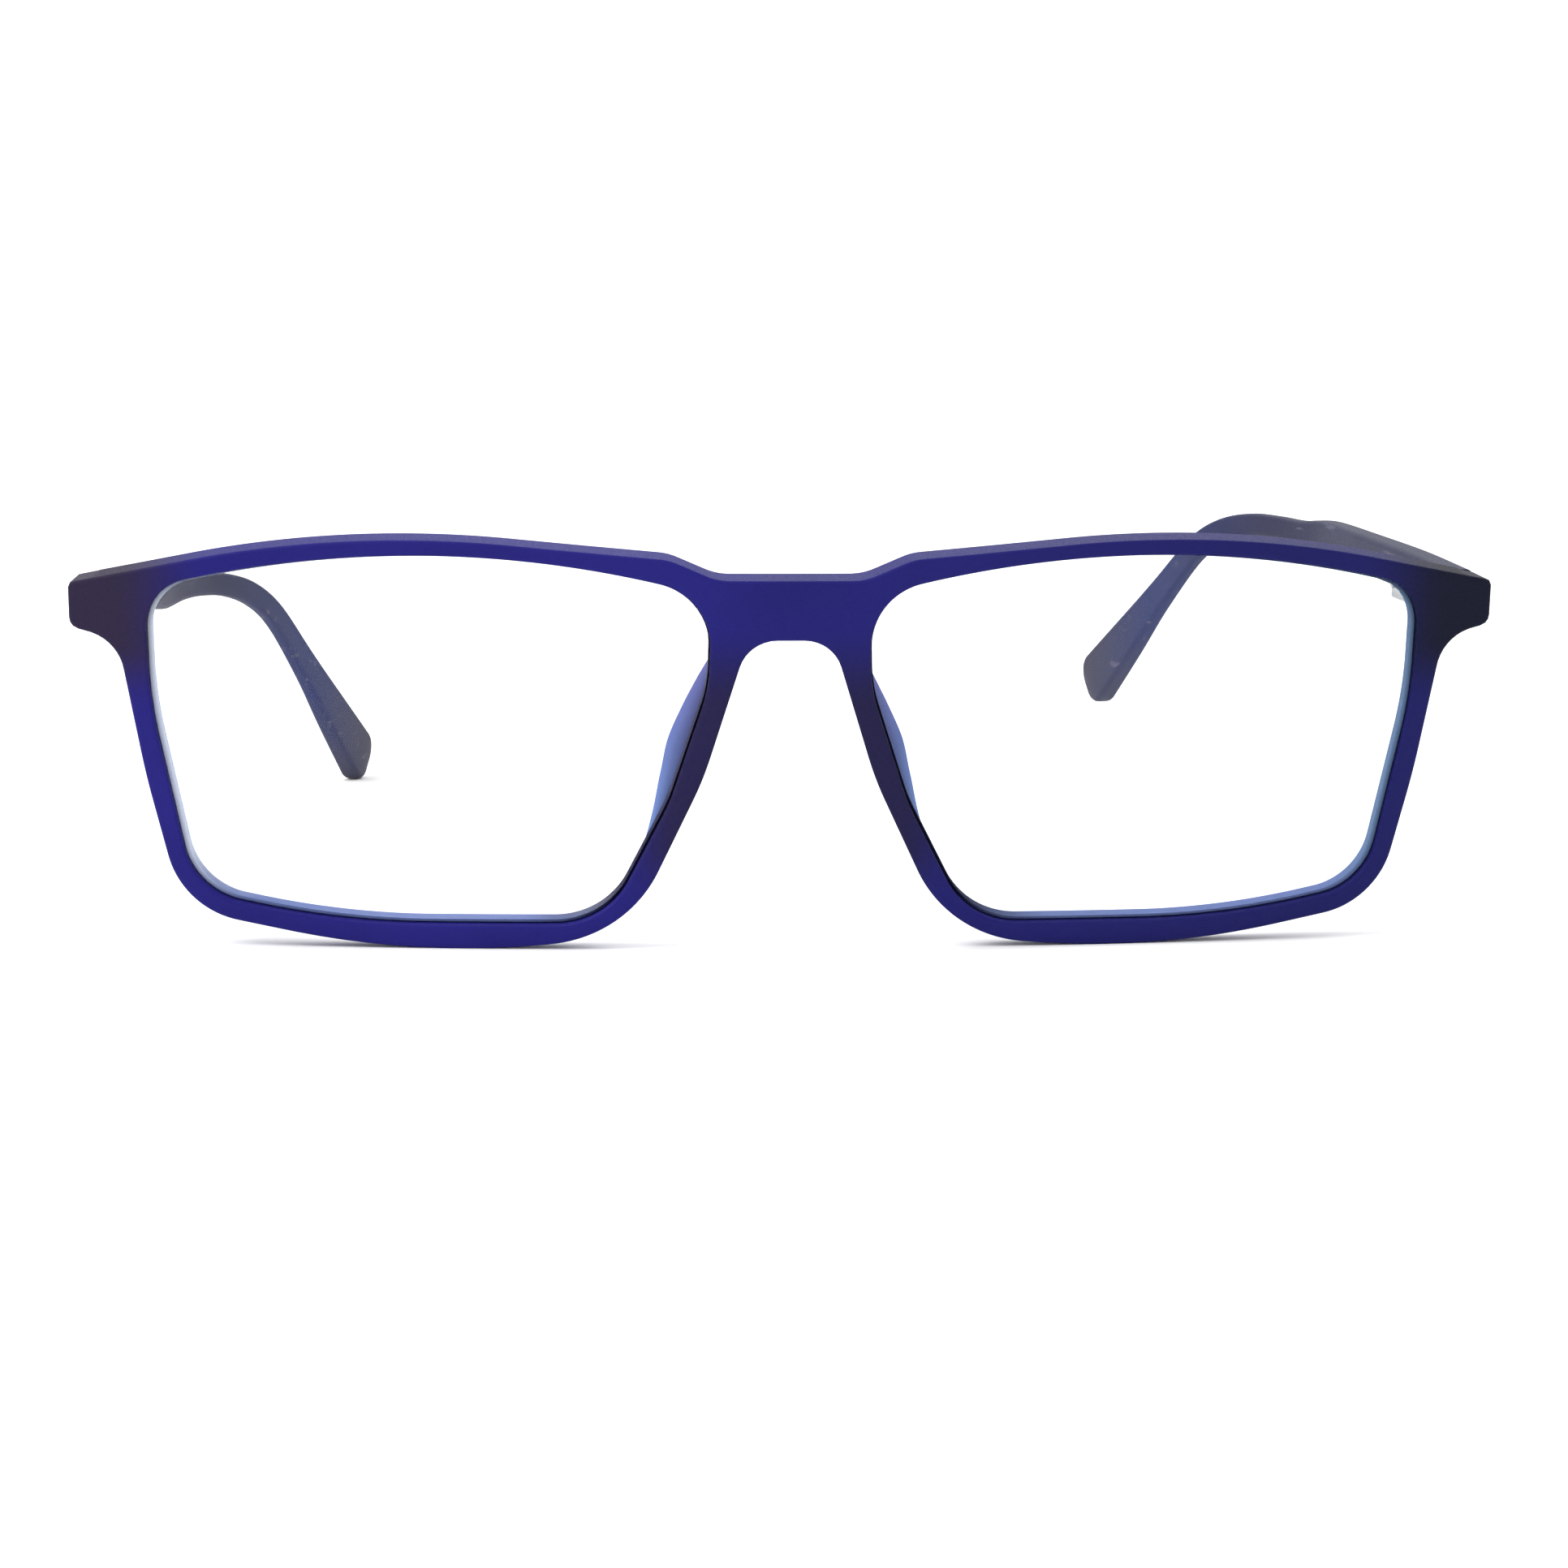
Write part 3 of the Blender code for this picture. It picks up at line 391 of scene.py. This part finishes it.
def front_section(spoke):
    """Points round one slice of the front, from the lens groove over the face to the back, with each one's
    share of the nose pad. Slices on the middle of the bridge have None where they have no outer side."""
    p, m, q, n = spoke
    r = EDGE_ROUND
    lip = p + m * r
    rim = [on_front(*(p + m * GROOVE_DEPTH), GROOVE_AT), on_front(*p, GROOVE_AT - GROOVE_HALF)]
    rim += arc(on_front(*p, 0.0), on_front(*p, r), on_front(*lip, 0.0))
    back = arc(on_front(*p, FRONT_DEPTH), on_front(*lip, FRONT_DEPTH), on_front(*p, FRONT_DEPTH - r))
    back.append(on_front(*p, GROOVE_AT + GROOVE_HALF))
    arc_count = ARC_STEPS + 1
    if n is None:
        middle = lip.lerp(q, 0.5)
        outer = [on_front(*lip.lerp(q, k / FACE_STEPS), 0.0) for k in range(1, FACE_STEPS + 1)]
        outer += [None] * (arc_count - 1 + WALL_POINTS + arc_count - 1)
        outer += [on_front(*q, FRONT_DEPTH)]
        outer += [on_front(*q.lerp(middle, 0.3 * k), FRONT_DEPTH) for k in (1, 2)]
        across = range(1, FACE_STEPS + 1)
        outer += [on_front(*q.lerp(middle, 0.6 + 0.4 * k / FACE_STEPS), FRONT_DEPTH) for k in across]
        pads = [0.0] * len(rim + outer + back)
        return rim + outer + back, pads
    inset = q - n * r
    face = [on_front(*lip.lerp(inset, k / FACE_STEPS), 0.0) for k in range(1, FACE_STEPS)]
    outer = face + arc(on_front(*q, 0.0), on_front(*inset, 0.0), on_front(*q, r))
    if inset.x > BLOCK_INNER_X:
        fall = max(0.0, n.y) * BLOCK_TOP_FALL
        run = inset.x - lip.x
        inner = inset.lerp(lip, (inset.x - BLOCK_INNER_X) / run)
        root = inset.lerp(lip, (inset.x - BLOCK_INNER_X + r) / run)
        ends = []
        for place, short in ((q, r), (q, 0.0), (inset, 0.0), (inner, 0.0)):
            point = on_front(*place, FRONT_DEPTH)
            point.y = BUTT_Y - short
            point.z -= fall
            ends.append(point)
        start = on_front(*q, r)
        outer += [start.lerp(ends[0], k / (WALL_POINTS + 1)) for k in range(1, WALL_POINTS + 1)]
        outer += arc(ends[1], ends[0], ends[2])
        foot = on_front(*root, FRONT_DEPTH)
        outer += [ends[2].lerp(ends[3], 0.5), ends[3]]
        outer += [ends[3].lerp(foot, k / FACE_STEPS) for k in range(1, FACE_STEPS + 1)]
        shares = [0.0] * len(rim + outer + back)
        return rim + outer + back, shares
    width = (inset - lip).length
    reach, lean, pad_thick = pad_at(*q)
    pad = min(1.0, reach / PAD_FULL_REACH)
    thick = min(0.5, 0.5 * width) * (1 - pad) + pad_thick * pad
    edge = q - n * lean
    edge_in = inset - n * lean
    toward = (lip - inset).normalized()
    start = on_front(*q, FRONT_DEPTH - WALL_PLAIN)
    end = on_front(*edge, FRONT_DEPTH - r, reach)
    wall = [on_front(*q, r).lerp(start, 0.5), start]
    wall += [start.lerp(end, k / (WALL_POINTS - 1)) for k in range(1, WALL_POINTS - 1)]
    inner_edge = on_front(*(edge_in + toward.lerp(-n, pad) * thick), FRONT_DEPTH, reach)
    foot = on_front(*inset.lerp(lip, min(0.8, PAD_FOOT / width)), FRONT_DEPTH)
    outer += wall
    outer += arc(on_front(*edge, FRONT_DEPTH, reach), end, on_front(*edge_in, FRONT_DEPTH, reach))
    outer += [on_front(*edge_in, FRONT_DEPTH, reach).lerp(inner_edge, 0.5), inner_edge]
    outer += [inner_edge.lerp(foot, k / FACE_STEPS) for k in range(1, FACE_STEPS + 1)]
    rises = len(rim) + len(face) + arc_count
    shares = []
    for k in range(len(rim + outer + back)):
        on_wall = (k - rises - 1) / (WALL_POINTS - 1)
        past = (k - (len(rim) + len(outer) - FACE_STEPS - 1)) / FACE_STEPS
        share = min(1.0, max(0.0, on_wall))
        if past > 0:
            share = max(0.0, 1 - past)
        shares.append(share * pad)
    return rim + outer + back, shares


def tone_at(x, s):
    """0 where the moulding shows its clear indigo, 1 where it looks darkest."""
    ends = smooth_step(56.0, 65.5, x) * smooth_step(24.0, 31.0, s)
    nasal = smooth_step(17.5, 11.0, x) * smooth_step(3.0, 11.0, s) * smooth_step(33.0, 25.0, s)
    return max(0.95 * ends, 0.75 * nasal)


def front_moulding(material):
    work = bmesh.new()
    spokes = front_spokes(SPOKE_STEP)
    on_outline = sum(1 for spoke in spokes if spoke[3] is not None)
    sections = [front_section(spoke) for spoke in spokes]
    tone_layer = work.verts.layers.float.new("tone")
    pad_layer = work.verts.layers.float.new("pad")
    for side in SIDES:
        rings = []
        for points, shares in sections:
            ring = []
            for k, point in enumerate(points):
                if point is None:
                    ring.append(None)
                    continue
                made = work.verts.new(to_world(point, side))
                made[pad_layer] = shares[k]
                made[tone_layer] = tone_at(point.x, point.z / math.cos(FRONT_LEAN))
                ring.append(made)
            rings.append(ring)
        for i, ring in enumerate(rings):
            following = rings[(i + 1) % len(rings)]
            on_middle = i >= on_outline - 1
            for j in range(len(ring)):
                k = (j + 1) % len(ring)
                corners = [v for v in (ring[j], ring[k], following[k], following[j]) if v]
                if len(corners) < 4 or (on_middle and ring_gap(j)):
                    continue
                work.faces.new(corners)
    obj = finish_mesh("front_moulding", work, [material])
    cutters = []
    for side in SIDES:
        low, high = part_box(f"hinge_leaf_{side}")
        clear = Vector((1, 1, 1)) * POCKET_CLEAR * MM
        leaf_back = low.y + 3.0 * MM
        cutters.append(box_cutter(f"pocket_{side}", low - clear, Vector((high.x, leaf_back, high.z)) + clear))
        for height in ("upper", "lower"):
            a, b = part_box(f"leaf_screw_{height}_{side}")
            centre = (a + b) / 2
            cutters.append(round_cutter(f"hole_{height}_{side}", "y", centre, SCREW_HOLE_R * MM,
                                        a.y - 0.1 * MM, b.y + 0.5 * MM))
    cut_all(obj, cutters)
    smooth_faces(obj, 40)
    return obj


def ring_gap(j):
    """True for the strip of a slice that would lie inside the bridge, on the middle plane."""
    first = 2 + ARC_STEPS + FACE_STEPS
    last = first + 2 * ARC_STEPS + WALL_POINTS + 1
    return first <= j < last


def chamfer_at(normal):
    """Width of the lens's chamfer where the opening faces this way."""
    return CHAMFER_WIDE + CHAMFER_TEMPORAL * max(0.0, normal.x) + CHAMFER_BOTTOM * max(0.0, -normal.y)


def lens_pane(side, glass, bevel):
    work = bmesh.new()
    spokes = front_spokes(SPOKE_STEP)
    middle = sum((s[0] for s in spokes), Vector((0.0, 0.0))) / len(spokes)
    front_at = GROOVE_AT - LENS_THICK / 2
    edge = [(p - m * PANE_CLEAR, p + m * (GROOVE_DEPTH - LENS_CLEAR)) for p, m, _, _ in spokes]
    inner = [p - m * (PANE_CLEAR + chamfer_at(m)) for p, m, _, _ in spokes]

    def ring_at(places, share, at):
        return [work.verts.new(to_world(on_front(*middle.lerp(flat, share), at), side)) for flat in places]

    shares = [k / LENS_RINGS for k in range(1, LENS_RINGS + 1)]
    back = [ring_at(inner, share, front_at + LENS_THICK) for share in shares]
    front = [ring_at(inner, share, front_at) for share in reversed(shares)]
    wall = [flat for flat, _ in edge]
    back_wall = ring_at(wall, 1.0, front_at + LENS_THICK - CHAMFER_DEEP)
    front_wall = ring_at(wall, 1.0, front_at + CHAMFER_DEEP)
    tip = [work.verts.new(to_world(on_front(*t, GROOVE_AT), side)) for _, t in edge]
    skin(work, back)
    skin(work, front)
    for face in skin(work, [back[-1], back_wall, tip, front_wall, front[0]]):
        face.material_index = 1
    for ring, at in ((back[0], front_at + LENS_THICK), (front[-1], front_at)):
        centre = work.verts.new(to_world(on_front(*middle, at), side))
        for i in range(len(ring)):
            work.faces.new((ring[i], ring[(i + 1) % len(ring)], centre))
    obj = finish_mesh(f"lens_pane_{side}", work, [glass, bevel])
    obj.data.shade_smooth()
    obj.data.set_sharp_from_angle(angle=math.radians(15))
    return obj


# ---- temples ----

def through(values, share):
    """A smooth curve through rows of values, at share from 0 at the first row to the last row's index."""
    i = min(int(share), len(values) - 2)
    t = share - i
    rows = [values[max(0, min(len(values) - 1, i + k))] for k in (-1, 0, 1, 2)]
    made = []
    for a, b, c, d in zip(*rows):
        cubic = 1.5 * (b - c) + (d - a) / 2
        square = a - 2.5 * b + 2 * c - d / 2
        made.append(b + t * ((c - a) / 2 + t * (square + t * cubic)))
    return made


def drop(side, y):
    return DROP_AT_HINGE[side] + DROP_SLOPE[side] * (y - TEMPLE_FRONT_Y)


def temple_slice(middle, run, height, thick):
    across = run.cross(Vector((0.0, 0.0, 1.0))).normalized()
    up = across.cross(run).normalized()
    corner = min(0.7, thick * 0.35, height * 0.3)
    ring = []
    for ux, uz in ((1, 1), (-1, 1), (-1, -1), (1, -1)):
        turns = []
        for k in range(5):
            angle = math.pi / 2 * k / 4
            turns.append((corner * (1 - math.sin(angle)), corner * (1 - math.cos(angle))))
        if ux * uz > 0:
            turns.reverse()
        for from_side, from_top in turns:
            ring.append(middle + across * ux * (thick / 2 - from_side) + up * uz * (height / 2 - from_top))
    return ring


def temple_arm(side, material):
    work = bmesh.new()
    places = []
    last = len(TEMPLE_STATIONS) - 1
    for i in range(last):
        span = math.dist(TEMPLE_STATIONS[i][:3], TEMPLE_STATIONS[i + 1][:3])
        pieces = max(2, round(span / TEMPLE_STEP))
        places += [i + k / pieces for k in range(pieces)]
    places.append(float(last))
    slices = []
    for place in places:
        y, x, z, height, thick = through(TEMPLE_STATIONS, place)
        ahead = through(TEMPLE_STATIONS, min(place + 0.02, last))
        behind = through(TEMPLE_STATIONS, max(place - 0.02, 0.0))
        middle = Vector((x, y, z - drop(side, y)))
        run = Vector((ahead[1], ahead[0], ahead[2] - drop(side, ahead[0])))
        run -= Vector((behind[1], behind[0], behind[2] - drop(side, behind[0])))
        run = Vector((0.0, 1.0, 0.0)) if place == 0.0 else run.normalized()
        slices.append(temple_slice(middle, run, height, thick))
    for k in range(1, TIP_STEPS):
        angle = math.pi / 2 * k / TIP_STEPS
        shrink = math.cos(angle)
        slices.append(temple_slice(middle + run * TIP_ROUND * math.sin(angle), run,
                                   height * shrink, thick * (0.4 + 0.6 * shrink)))
    rings = [[work.verts.new(to_world(p, side)) for p in ring] for ring in slices]
    skin(work, rings)
    work.faces.new(rings[0])
    work.faces.new(rings[-1])
    obj = finish_mesh(f"temple_arm_{side}", work, [material])
    low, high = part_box(f"housing_screw_{side}")
    ends = sorted((low.x * SIDES[side], high.x * SIDES[side]))
    centre = (low + high) / 2
    cut_from = ends[0] * SIDES[side]
    cut_to = (ends[1] + 0.1 * MM) * SIDES[side]
    cut_all(obj, [round_cutter("screw_hole", "x", centre, SCREW_HOLE_R * MM, min(cut_from, cut_to),
                               max(cut_from, cut_to))])
    smooth_faces(obj, 50)
    return obj


# ---- materials ----

# Sockets of the Mix node when it mixes colours.
MIX_COLOUR_A, MIX_COLOUR_B, MIX_COLOUR = 6, 7, 2


class Nodes:
    """A short way to wire one material."""

    def __init__(self, name):
        self.material = bpy.data.materials.new(name)
        self.material.use_nodes = True
        self.tree = self.material.node_tree
        self.shader = self.tree.nodes["Principled BSDF"]

    def add(self, kind, **values):
        node = self.tree.nodes.new(kind)
        for key, value in values.items():
            setattr(node, key, value)
        return node

    def link(self, source, target):
        self.tree.links.new(source, target)

    def place(self):
        return self.add("ShaderNodeTexCoord").outputs["Object"]

    def along(self, axis, start, stop):
        """0 to 1 between two places on one axis of the object."""
        split = self.add("ShaderNodeSeparateXYZ")
        self.link(self.place(), split.inputs[0])
        return self.between(split.outputs["XYZ".index(axis)], 0.0, 1.0, start, stop)

    def noise(self, scale, detail=3.0, roughness=0.55):
        node = self.add("ShaderNodeTexNoise")
        node.inputs["Scale"].default_value = scale
        node.inputs["Detail"].default_value = detail
        node.inputs["Roughness"].default_value = roughness
        self.link(self.place(), node.inputs["Vector"])
        return node.outputs["Fac"]

    def between(self, factor, low, high, start=0.0, stop=1.0):
        node = self.add("ShaderNodeMapRange")
        self.link(factor, node.inputs["Value"])
        for key, value in (("From Min", start), ("From Max", stop), ("To Min", low), ("To Max", high)):
            node.inputs[key].default_value = value
        return node.outputs["Result"]

    def colours(self, factor, first, second):
        node = self.add("ShaderNodeMix", data_type="RGBA")
        self.link(factor, node.inputs["Factor"])
        for value, socket in ((first, node.inputs[MIX_COLOUR_A]), (second, node.inputs[MIX_COLOUR_B])):
            if isinstance(value, tuple):
                socket.default_value = (*value, 1.0)
            else:
                self.link(value, socket)
        return node.outputs[MIX_COLOUR]

    def bump(self, height, strength, distance, before=None):
        node = self.add("ShaderNodeBump")
        node.inputs["Strength"].default_value = strength
        node.inputs["Distance"].default_value = distance
        self.link(height, node.inputs["Height"])
        if before:
            self.link(before, node.inputs["Normal"])
        return node.outputs["Normal"]


def moulded(name, colour, light, specular):
    """Matte moulded nylon: fine grain, faint cloudiness in colour and gloss."""
    made = Nodes(name)
    cloud = made.noise(90.0, 4.0)
    grain = made.noise(5200.0, 2.0)
    shade = made.colours(made.between(cloud, 0.0, 1.0, 0.3, 0.7), colour, light)
    made.link(made.between(grain, 0.55, 0.72, 0.3, 0.7), made.shader.inputs["Roughness"])
    normal = made.bump(grain, 0.22, 0.00004)
    normal = made.bump(made.noise(700.0, 2.0), 0.12, 0.00008, normal)
    made.link(normal, made.shader.inputs["Normal"])
    made.shader.inputs["Specular IOR Level"].default_value = specular
    return made, shade


def front_material():
    made, shade = moulded("moulded_indigo", *INDIGO, 0.14)
    tone = made.add("ShaderNodeAttribute", attribute_name="tone").outputs["Fac"]
    pad = made.add("ShaderNodeAttribute", attribute_name="pad").outputs["Fac"]
    # Painted shade: the front is painted darker towards +x, away from the key lamp.
    shade = made.colours(made.along("X", -0.02, 0.05), shade, INDIGO_LEFT_PAINTED_SHADE)
    # Painted shade: the end colour runs darker towards +x, away from the key lamp.
    ends = made.colours(made.along("X", -0.06, 0.06), *END_COLOURS_AND_PAINTED_SHADE)
    shade = made.colours(tone, shade, ends)
    # Painted light: the pads are painted a lighter blue than the moulding, lighter towards the bottom.
    pads = made.colours(made.along("Z", 0.026, 0.008), *PAD_PAINTED_LIGHT)
    shade = made.colours(made.between(pad, 0.0, 1.0, 0.15, 0.9), shade, pads)
    made.link(shade, made.shader.inputs["Base Color"])
    return made.material


def temple_material():
    made, shade = moulded("moulded_navy", *NAVY, 0.18)
    # Thin lighter streaks along the temple's length.
    lengthwise_streaks = made.add("ShaderNodeTexNoise")
    mapping = made.add("ShaderNodeMapping")
    mapping.inputs["Scale"].default_value = (900.0, 60.0, 900.0)
    made.link(made.place(), mapping.inputs["Vector"])
    made.link(mapping.outputs["Vector"], lengthwise_streaks.inputs["Vector"])
    lengthwise_streaks.inputs["Scale"].default_value = 1.0
    shade = made.colours(made.along("Y", 0.028, 0.050), shade, NAVY_BEHIND_BEND)
    shade = made.colours(made.along("Y", 0.054, 0.068), shade, NAVY_TIP)
    streak = made.between(lengthwise_streaks.outputs["Fac"], 0.0, 1.0, 0.66, 0.74)
    shade = made.colours(streak, shade, NAVY_STREAK)
    made.link(shade, made.shader.inputs["Base Color"])
    return made.material


def glass_material(side, tint):
    """Clear coated lens: bends light, mirrors little of it, and lets lamps through to what is behind it."""
    made = Nodes(f"clear_lens_{side}")
    faint = made.between(made.noise(25.0), 0.0, 1.0, 0.35, 0.65)
    made.link(made.colours(faint, tint, (0.995, 0.995, 0.995)), made.shader.inputs["Base Color"])
    made.shader.inputs["Transmission Weight"].default_value = 1.0
    made.shader.inputs["IOR"].default_value = COATED_INDEX
    made.link(made.between(made.noise(300.0), 0.0, 0.012, 0.3, 0.7), made.shader.inputs["Roughness"])
    open_way = made.add("ShaderNodeBsdfTransparent")
    open_way.inputs["Color"].default_value = (0.97, 0.985, 0.99, 1.0)
    mix = made.add("ShaderNodeMixShader")
    made.link(made.add("ShaderNodeLightPath").outputs["Is Shadow Ray"], mix.inputs[0])
    made.link(made.shader.outputs[0], mix.inputs[1])
    made.link(open_way.outputs[0], mix.inputs[2])
    made.link(mix.outputs[0], made.tree.nodes["Material Output"].inputs["Surface"])
    return made.material


def bevel_material(side, colour):
    """The lens's ground edge: frosted, with its light painted in: pale on the lit side, lit blue by the rim
    under it, and near black in painted shade by the nose.
    """
    made = Nodes(f"ground_lens_edge_{side}")
    grit = made.noise(4000.0, 3.0)
    light = tuple(min(1.0, c * 1.25) for c in colour)
    shade = made.colours(grit, colour, light)
    # Painted light: bluer towards the bottom, lit by the rim under it.
    shade = made.colours(made.along("Z", 0.0095, 0.0045), shade, EDGE_LOW_PAINTED_LIGHT)
    # Painted shade: near black by the nose.
    nasal = made.along("X", 0.026 * SIDES[side], 0.017 * SIDES[side])
    shade = made.colours(nasal, shade, EDGE_NASAL_PAINTED_SHADE)
    made.link(shade, made.shader.inputs["Base Color"])
    made.link(made.between(grit, 0.35, 0.6), made.shader.inputs["Roughness"])
    made.link(made.bump(grit, 0.3, 0.00003), made.shader.inputs["Normal"])
    return made.material


def steel_material(name, colour, stretch, rough):
    """Brushed steel with its grain along one axis."""
    made = Nodes(name)
    mapping = made.add("ShaderNodeMapping")
    mapping.inputs["Scale"].default_value = stretch
    made.link(made.place(), mapping.inputs["Vector"])
    lines = made.add("ShaderNodeTexNoise")
    lines.inputs["Scale"].default_value = 1.0
    lines.inputs["Detail"].default_value = 4.0
    made.link(mapping.outputs["Vector"], lines.inputs["Vector"])
    grain = lines.outputs["Fac"]
    light = tuple(min(1.0, c * 1.25) for c in colour)
    made.link(made.colours(grain, colour, light), made.shader.inputs["Base Color"])
    made.link(made.between(grain, rough - 0.08, rough + 0.1, 0.3, 0.7), made.shader.inputs["Roughness"])
    made.link(made.bump(grain, 0.25, 0.00002), made.shader.inputs["Normal"])
    made.shader.inputs["Metallic"].default_value = 1.0
    return made.material


# ---- stage ----

def studio():
    scene = bpy.context.scene
    scene.view_settings.view_transform = "Standard"
    world = bpy.data.worlds.new("soft_white")
    world.use_nodes = True
    world.node_tree.nodes["Background"].inputs["Color"].default_value = (1.0, 1.0, 1.0, 1.0)
    world.node_tree.nodes["Background"].inputs["Strength"].default_value = WORLD_STRENGTH
    scene.world = world

    work = bmesh.new()
    corners = ((-1, -1), (1, -1), (1, 1), (-1, 1))
    work.faces.new([work.verts.new((x * FLOOR_HALF, y * FLOOR_HALF, 0.0)) for x, y in corners])
    pale = Nodes("pale_floor")
    speck = pale.noise(40.0)
    pale.link(pale.colours(speck, (0.93, 0.93, 0.93), (0.95, 0.95, 0.95)), pale.shader.inputs["Base Color"])
    pale.shader.inputs["Roughness"].default_value = 0.8
    floor = finish_mesh("floor", work, [pale.material])

    for name, place, size, power, colour in LAMPS:
        lamp = bpy.data.lights.new(name, "AREA")
        lamp.shape = "SQUARE"
        lamp.size = size
        lamp.energy = power
        lamp.color = colour
        obj = bpy.data.objects.new(name, lamp)
        scene.collection.objects.link(obj)
        obj.location = place
        toward = Vector(LAMP_AIM) - Vector(place)
        obj.rotation_euler = toward.to_track_quat("-Z", "Y").to_euler()


def camera():
    yaw, pitch, roll = CAMERA_YAW, CAMERA_PITCH, CAMERA_ROLL
    ahead = Vector((-math.sin(yaw) * math.cos(pitch), math.cos(yaw) * math.cos(pitch), math.sin(pitch)))
    right = Vector((math.cos(yaw), math.sin(yaw), 0.0))
    up = right.cross(ahead)
    turned = math.cos(roll) * right + math.sin(roll) * up
    raised = -math.sin(roll) * right + math.cos(roll) * up
    data = bpy.data.cameras.new("view")
    data.lens = CAMERA_LENS
    data.sensor_width = 36.0
    data.clip_start = 0.01
    obj = bpy.data.objects.new("view", data)
    matrix = Matrix((turned, raised, -ahead)).transposed().to_4x4()
    matrix.translation = Vector(CAMERA_PLACE)
    obj.matrix_world = matrix
    bpy.context.scene.collection.objects.link(obj)
    bpy.context.scene.camera = obj


def main():
    camera()
    studio()
    indigo = front_material()
    navy = temple_material()

    front = front_moulding(indigo)
    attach(front, "front")
    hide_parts("front_frame")
    for side in SIDES:
        bevel = bevel_material(side, EDGE_PAINTED_LIGHT_COLOURS[side])
        pane = lens_pane(side, glass_material(side, LENS_TINTS[side]), bevel)
        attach(pane, "front")
        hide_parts(f"lens_{side}")
        arm = temple_arm(side, navy)
        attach(arm, f"temple_{side}")
        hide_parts(f"temple_{side}")

    steel = steel_material("brushed_steel", (0.25, 0.26, 0.28), (1500.0, 120.0, 1500.0), 0.32)
    bright = steel_material("turned_steel", (0.36, 0.36, 0.37), (300.0, 300.0, 2500.0), 0.22)
    for name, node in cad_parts.items():
        if "screw" in name or "spring" in name or name.startswith("hinge"):
            finish = bright if "screw" in name or name.startswith("coil") else steel
            for slot in node.material_slots:
                slot.material = finish


main()
